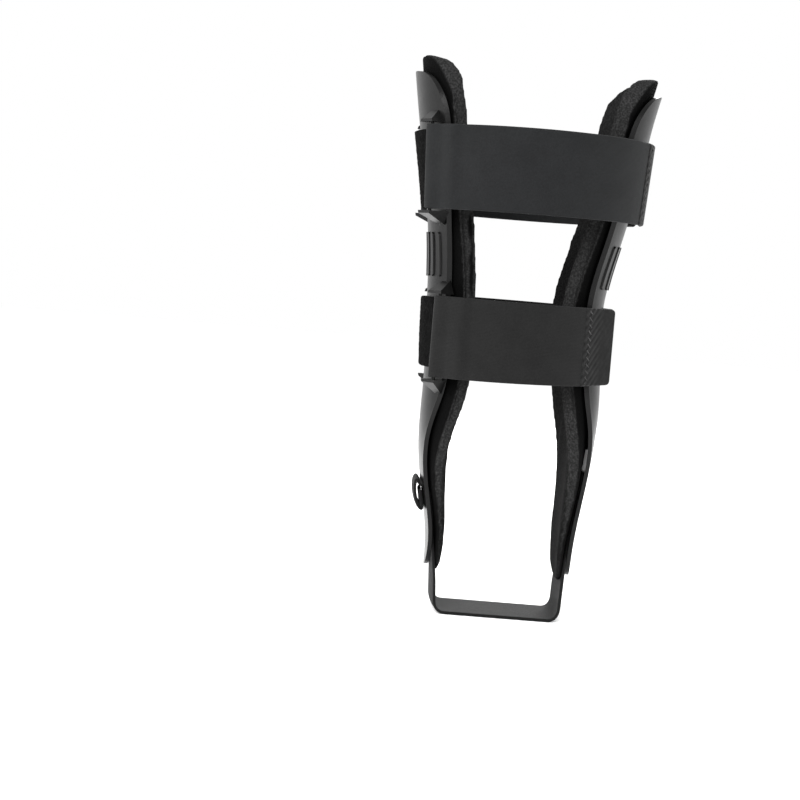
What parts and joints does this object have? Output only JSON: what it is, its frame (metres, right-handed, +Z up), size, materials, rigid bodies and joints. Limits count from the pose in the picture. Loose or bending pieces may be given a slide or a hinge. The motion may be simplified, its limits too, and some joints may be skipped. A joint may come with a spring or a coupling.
{
  "type": "ankle foot orthosis",
  "caption": "Stirrup ankle brace: two padded side shells joined under the heel by a strap, held round the leg by hook-and-loop straps.",
  "frame": {"origin": "middle of the heel strap's underside, on the floor and below the leg's axis", "axes": "+Z up the leg, -Y towards the shin and toes, -X towards the other leg (medial), +X lateral"},
  "size_m": [0.1247, 0.1208, 0.2787],
  "materials": {
    "shell": "glossy moulded plastic",
    "pad_foam": "brushed cut foam",
    "pad_backing": "brushed pile",
    "hook": "hook tape",
    "strap": "smooth woven webbing",
    "pile": "rough pile",
    "heel_webbing": "woven webbing"
  },
  "bodies": {
    "heel_strap": {"heel_strap": "heel_webbing"},
    "medial_shell": {"medial_shell": "shell", "medial_pad": "pad_foam", "medial_pad_backing": "pad_backing", "medial_pad_hook_dots": "hook", "top_strap_band": "pile", "mid_strap_band": "pile", "heel_strap_medial_end": "heel_webbing"},
    "lateral_shell": {"lateral_shell": "shell", "lateral_pad": "pad_foam", "lateral_pad_backing": "pad_backing", "lateral_pad_hook_dots": "hook", "top_hook_patch": "hook", "mid_hook_patch": "hook", "heel_strap_lateral_end": "heel_webbing"},
    "top_front_strap": {"top_front_strap": "strap"},
    "top_front_hook_tab": {"top_front_hook_tab": "strap"},
    "top_back_strap": {"top_back_strap": "strap"},
    "top_back_hook_tab": {"top_back_hook_tab": "strap"},
    "mid_front_strap": {"mid_front_strap": "strap"},
    "mid_front_hook_tab": {"mid_front_hook_tab": "strap"},
    "mid_back_strap": {"mid_back_strap": "strap"},
    "mid_back_hook_tab": {"mid_back_hook_tab": "strap"}
  },
  "joints": [
    {"name": "medial_shell_hinge", "type": "hinge", "parent": "heel_strap", "child": "medial_shell", "pos_m": [-0.03426, 0, 0.00815], "axis": [0, -1, 0], "range_deg": [0, 7]},
    {"name": "lateral_shell_hinge", "type": "hinge", "parent": "heel_strap", "child": "lateral_shell", "pos_m": [0.03232, 0, 0.00815], "axis": [0, 1, 0], "range_deg": [0, 7]},
    {"name": "top_front_strap_swing", "type": "hinge", "parent": "medial_shell", "child": "top_front_strap", "pos_m": [-0.05252, -0.03015, 0.2226], "axis": [0.0545, 0.0315, -0.998], "range_deg": [0, 140]},
    {"name": "top_front_tab_peel", "type": "hinge", "parent": "top_front_strap", "child": "top_front_hook_tab", "pos_m": [0.05496, -0.02233, 0.2226], "axis": [-0.0584, 0.0236, -0.998], "range_deg": [0, 100]},
    {"name": "top_back_strap_swing", "type": "hinge", "parent": "medial_shell", "child": "top_back_strap", "pos_m": [-0.05252, 0.03015, 0.2226], "axis": [-0.0545, 0.0315, 0.998], "range_deg": [0, 140]},
    {"name": "top_back_tab_peel", "type": "hinge", "parent": "top_back_strap", "child": "top_back_hook_tab", "pos_m": [0.0473, 0.03587, 0.2226], "axis": [0.0503, 0.0379, 0.998], "range_deg": [0, 100]},
    {"name": "mid_front_strap_swing", "type": "hinge", "parent": "medial_shell", "child": "mid_front_strap", "pos_m": [-0.04265, -0.02939, 0.13935], "axis": [0, 0, -1], "range_deg": [0, 140]},
    {"name": "mid_front_tab_peel", "type": "hinge", "parent": "mid_front_strap", "child": "mid_front_hook_tab", "pos_m": [0.03079, -0.03664, 0.13935], "axis": [0, 0, -1], "range_deg": [0, 100]},
    {"name": "mid_back_strap_swing", "type": "hinge", "parent": "medial_shell", "child": "mid_back_strap", "pos_m": [-0.04265, 0.02939, 0.13935], "axis": [0, 0, 1], "range_deg": [0, 140]},
    {"name": "mid_back_tab_peel", "type": "hinge", "parent": "mid_back_strap", "child": "mid_back_hook_tab", "pos_m": [0.04284, 0.02005, 0.13935], "axis": [0, 0, 1], "range_deg": [0, 100]}
  ],
  "couplings": [
    {"joint": "lateral_shell_hinge", "follows": "medial_shell_hinge", "ratio": 1},
    {"joint": "top_front_strap_swing", "follows": "medial_shell_hinge", "ratio": 20},
    {"joint": "top_back_strap_swing", "follows": "medial_shell_hinge", "ratio": 20},
    {"joint": "mid_front_strap_swing", "follows": "medial_shell_hinge", "ratio": 20},
    {"joint": "mid_back_strap_swing", "follows": "medial_shell_hinge", "ratio": 20}
  ]
}
